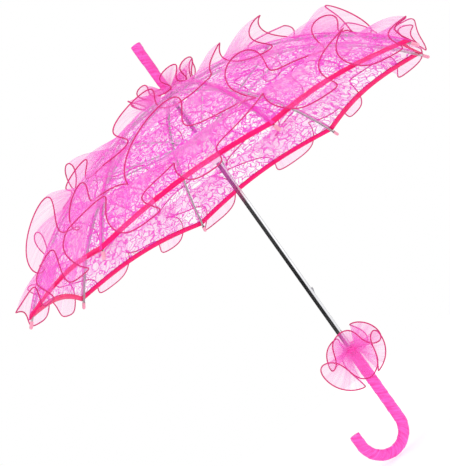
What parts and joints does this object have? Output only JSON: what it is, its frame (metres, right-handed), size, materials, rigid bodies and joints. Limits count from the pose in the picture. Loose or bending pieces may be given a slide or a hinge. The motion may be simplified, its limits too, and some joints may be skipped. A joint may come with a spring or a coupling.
{
  "type": "lace parasol",
  "caption": "Open lace parasol with curved ribs, stretchers and a sliding runner under a domed canopy, organza frills and a satin-wrapped crook handle.",
  "frame": {"origin": "on the shaft axis at the middle of the straight grip of the handle", "axes": "+Z along the shaft towards the ferrule, the crook opens towards -X, rib 1 points along +X, +Y to its left"},
  "size_m": [0.6892, 0.6892, 0.6535],
  "materials": {
    "polished_steel": "polished steel tube",
    "rib_steel": "thin bright steel",
    "tied_wire": "drawn steel wire",
    "white_plastic": "moulded plastic",
    "tip_plastic": "glossy moulded plastic",
    "satin": "polyester satin with a soft sheen",
    "lace": "machine lace with open flowers",
    "organza": "sheer crisp organza, dark rose thread edge"
  },
  "bodies": {
    "frame": {"shaft_tube": "polished_steel", "crown_notch": "white_plastic", "notch_wire": "tied_wire", "ferrule_spike": "white_plastic", "ferrule_cover": "satin", "handle_crook": "white_plastic", "handle_cover": "satin", "handle_frill": "organza"},
    "runner_body": {"runner": "white_plastic", "runner_wire": "tied_wire"},
    "top_catch_body": {"top_catch": "polished_steel"},
    "bottom_catch_body": {"bottom_catch": "polished_steel"},
    "rib_body_1": {"rib_1": "rib_steel", "rib_tip_1": "tip_plastic", "joint_pin_1": "tied_wire", "canopy_panel_1": "lace", "frill_1": "organza"},
    "stretcher_body_1": {"stretcher_1": "rib_steel"},
    "rib_body_2": {"rib_2": "rib_steel", "rib_tip_2": "tip_plastic", "joint_pin_2": "tied_wire", "canopy_panel_2": "lace", "frill_2": "organza"},
    "stretcher_body_2": {"stretcher_2": "rib_steel"},
    "rib_body_3": {"rib_3": "rib_steel", "rib_tip_3": "tip_plastic", "joint_pin_3": "tied_wire", "canopy_panel_3": "lace", "frill_3": "organza"},
    "stretcher_body_3": {"stretcher_3": "rib_steel"},
    "rib_body_4": {"rib_4": "rib_steel", "rib_tip_4": "tip_plastic", "joint_pin_4": "tied_wire", "canopy_panel_4": "lace", "frill_4": "organza"},
    "stretcher_body_4": {"stretcher_4": "rib_steel"},
    "rib_body_5": {"rib_5": "rib_steel", "rib_tip_5": "tip_plastic", "joint_pin_5": "tied_wire", "canopy_panel_5": "lace", "frill_5": "organza"},
    "stretcher_body_5": {"stretcher_5": "rib_steel"},
    "rib_body_6": {"rib_6": "rib_steel", "rib_tip_6": "tip_plastic", "joint_pin_6": "tied_wire", "canopy_panel_6": "lace", "frill_6": "organza"},
    "stretcher_body_6": {"stretcher_6": "rib_steel"},
    "rib_body_7": {"rib_7": "rib_steel", "rib_tip_7": "tip_plastic", "joint_pin_7": "tied_wire", "canopy_panel_7": "lace", "frill_7": "organza"},
    "stretcher_body_7": {"stretcher_7": "rib_steel"},
    "rib_body_8": {"rib_8": "rib_steel", "rib_tip_8": "tip_plastic", "joint_pin_8": "tied_wire", "canopy_panel_8": "lace", "frill_8": "organza"},
    "stretcher_body_8": {"stretcher_8": "rib_steel"}
  },
  "joints": [
    {"name": "rib_1_hinge", "type": "hinge", "parent": "frame", "child": "rib_body_1", "pos_m": [0.01, 0, 0.46879], "axis": [0, 1, 0], "range_deg": [0, 62], "deforming": ["canopy_panel_1", "frill_1"]},
    {"name": "rib_2_hinge", "type": "hinge", "parent": "frame", "child": "rib_body_2", "pos_m": [0.00707, 0.00707, 0.46879], "axis": [-0.7071, 0.7071, 0], "range_deg": [0, 62], "deforming": ["canopy_panel_2", "frill_2"]},
    {"name": "rib_3_hinge", "type": "hinge", "parent": "frame", "child": "rib_body_3", "pos_m": [0, 0.01, 0.46879], "axis": [-1, 0, 0], "range_deg": [0, 62], "deforming": ["canopy_panel_3", "frill_3"]},
    {"name": "rib_4_hinge", "type": "hinge", "parent": "frame", "child": "rib_body_4", "pos_m": [-0.00707, 0.00707, 0.46879], "axis": [-0.7071, -0.7071, 0], "range_deg": [0, 62], "deforming": ["canopy_panel_4", "frill_4"]},
    {"name": "rib_5_hinge", "type": "hinge", "parent": "frame", "child": "rib_body_5", "pos_m": [-0.01, 0, 0.46879], "axis": [0, -1, 0], "range_deg": [0, 62], "deforming": ["canopy_panel_5", "frill_5"]},
    {"name": "rib_6_hinge", "type": "hinge", "parent": "frame", "child": "rib_body_6", "pos_m": [-0.00707, -0.00707, 0.46879], "axis": [0.7071, -0.7071, 0], "range_deg": [0, 62], "deforming": ["canopy_panel_6", "frill_6"]},
    {"name": "rib_7_hinge", "type": "hinge", "parent": "frame", "child": "rib_body_7", "pos_m": [0, -0.01, 0.46879], "axis": [1, 0, 0], "range_deg": [0, 62], "deforming": ["canopy_panel_7", "frill_7"]},
    {"name": "rib_8_hinge", "type": "hinge", "parent": "frame", "child": "rib_body_8", "pos_m": [0.00707, -0.00707, 0.46879], "axis": [0.7071, 0.7071, 0], "range_deg": [0, 62], "deforming": ["canopy_panel_8", "frill_8"]},
    {"name": "stretcher_1_hinge", "type": "hinge", "parent": "rib_body_1", "child": "stretcher_body_1", "pos_m": [0.161, 0, 0.43585], "axis": [0, 1, 0], "range_deg": [-124.2, 0]},
    {"name": "stretcher_2_hinge", "type": "hinge", "parent": "rib_body_2", "child": "stretcher_body_2", "pos_m": [0.11384, 0.11384, 0.43585], "axis": [-0.7071, 0.7071, 0], "range_deg": [-124.2, 0]},
    {"name": "stretcher_3_hinge", "type": "hinge", "parent": "rib_body_3", "child": "stretcher_body_3", "pos_m": [0, 0.161, 0.43585], "axis": [-1, 0, 0], "range_deg": [-124.2, 0]},
    {"name": "stretcher_4_hinge", "type": "hinge", "parent": "rib_body_4", "child": "stretcher_body_4", "pos_m": [-0.11384, 0.11384, 0.43585], "axis": [-0.7071, -0.7071, 0], "range_deg": [-124.2, 0]},
    {"name": "stretcher_5_hinge", "type": "hinge", "parent": "rib_body_5", "child": "stretcher_body_5", "pos_m": [-0.161, 0, 0.43585], "axis": [0, -1, 0], "range_deg": [-124.2, 0]},
    {"name": "stretcher_6_hinge", "type": "hinge", "parent": "rib_body_6", "child": "stretcher_body_6", "pos_m": [-0.11384, -0.11384, 0.43585], "axis": [0.7071, -0.7071, 0], "range_deg": [-124.2, 0]},
    {"name": "stretcher_7_hinge", "type": "hinge", "parent": "rib_body_7", "child": "stretcher_body_7", "pos_m": [0, -0.161, 0.43585], "axis": [1, 0, 0], "range_deg": [-124.2, 0]},
    {"name": "stretcher_8_hinge", "type": "hinge", "parent": "rib_body_8", "child": "stretcher_body_8", "pos_m": [0.11384, -0.11384, 0.43585], "axis": [0.7071, 0.7071, 0], "range_deg": [-124.2, 0]},
    {"name": "runner_slide", "type": "slide", "parent": "frame", "child": "runner_body", "axis": [0, 0, -1], "range_m": [0, 0.2318]},
    {"name": "top_catch_press", "type": "slide", "parent": "frame", "child": "top_catch_body", "axis": [-1, 0, 0], "range_m": [0, 0.0026], "stiffness_N_per_m": 1500},
    {"name": "bottom_catch_press", "type": "slide", "parent": "frame", "child": "bottom_catch_body", "axis": [-1, 0, 0], "range_m": [0, 0.0026], "stiffness_N_per_m": 1500}
  ],
  "couplings": [
    {"joint": "rib_2_hinge", "follows": "rib_1_hinge", "ratio": 1},
    {"joint": "rib_3_hinge", "follows": "rib_1_hinge", "ratio": 1},
    {"joint": "rib_4_hinge", "follows": "rib_1_hinge", "ratio": 1},
    {"joint": "rib_5_hinge", "follows": "rib_1_hinge", "ratio": 1},
    {"joint": "rib_6_hinge", "follows": "rib_1_hinge", "ratio": 1},
    {"joint": "rib_7_hinge", "follows": "rib_1_hinge", "ratio": 1},
    {"joint": "rib_8_hinge", "follows": "rib_1_hinge", "ratio": 1},
    {"joint": "stretcher_1_hinge", "follows": "rib_1_hinge", "ratio": -2},
    {"joint": "stretcher_2_hinge", "follows": "rib_1_hinge", "ratio": -2},
    {"joint": "stretcher_3_hinge", "follows": "rib_1_hinge", "ratio": -2},
    {"joint": "stretcher_4_hinge", "follows": "rib_1_hinge", "ratio": -2},
    {"joint": "stretcher_5_hinge", "follows": "rib_1_hinge", "ratio": -2},
    {"joint": "stretcher_6_hinge", "follows": "rib_1_hinge", "ratio": -2},
    {"joint": "stretcher_7_hinge", "follows": "rib_1_hinge", "ratio": -2},
    {"joint": "stretcher_8_hinge", "follows": "rib_1_hinge", "ratio": -2},
    {"joint": "runner_slide", "follows": "rib_1_hinge", "m_per_rad": 0.21412}
  ]
}
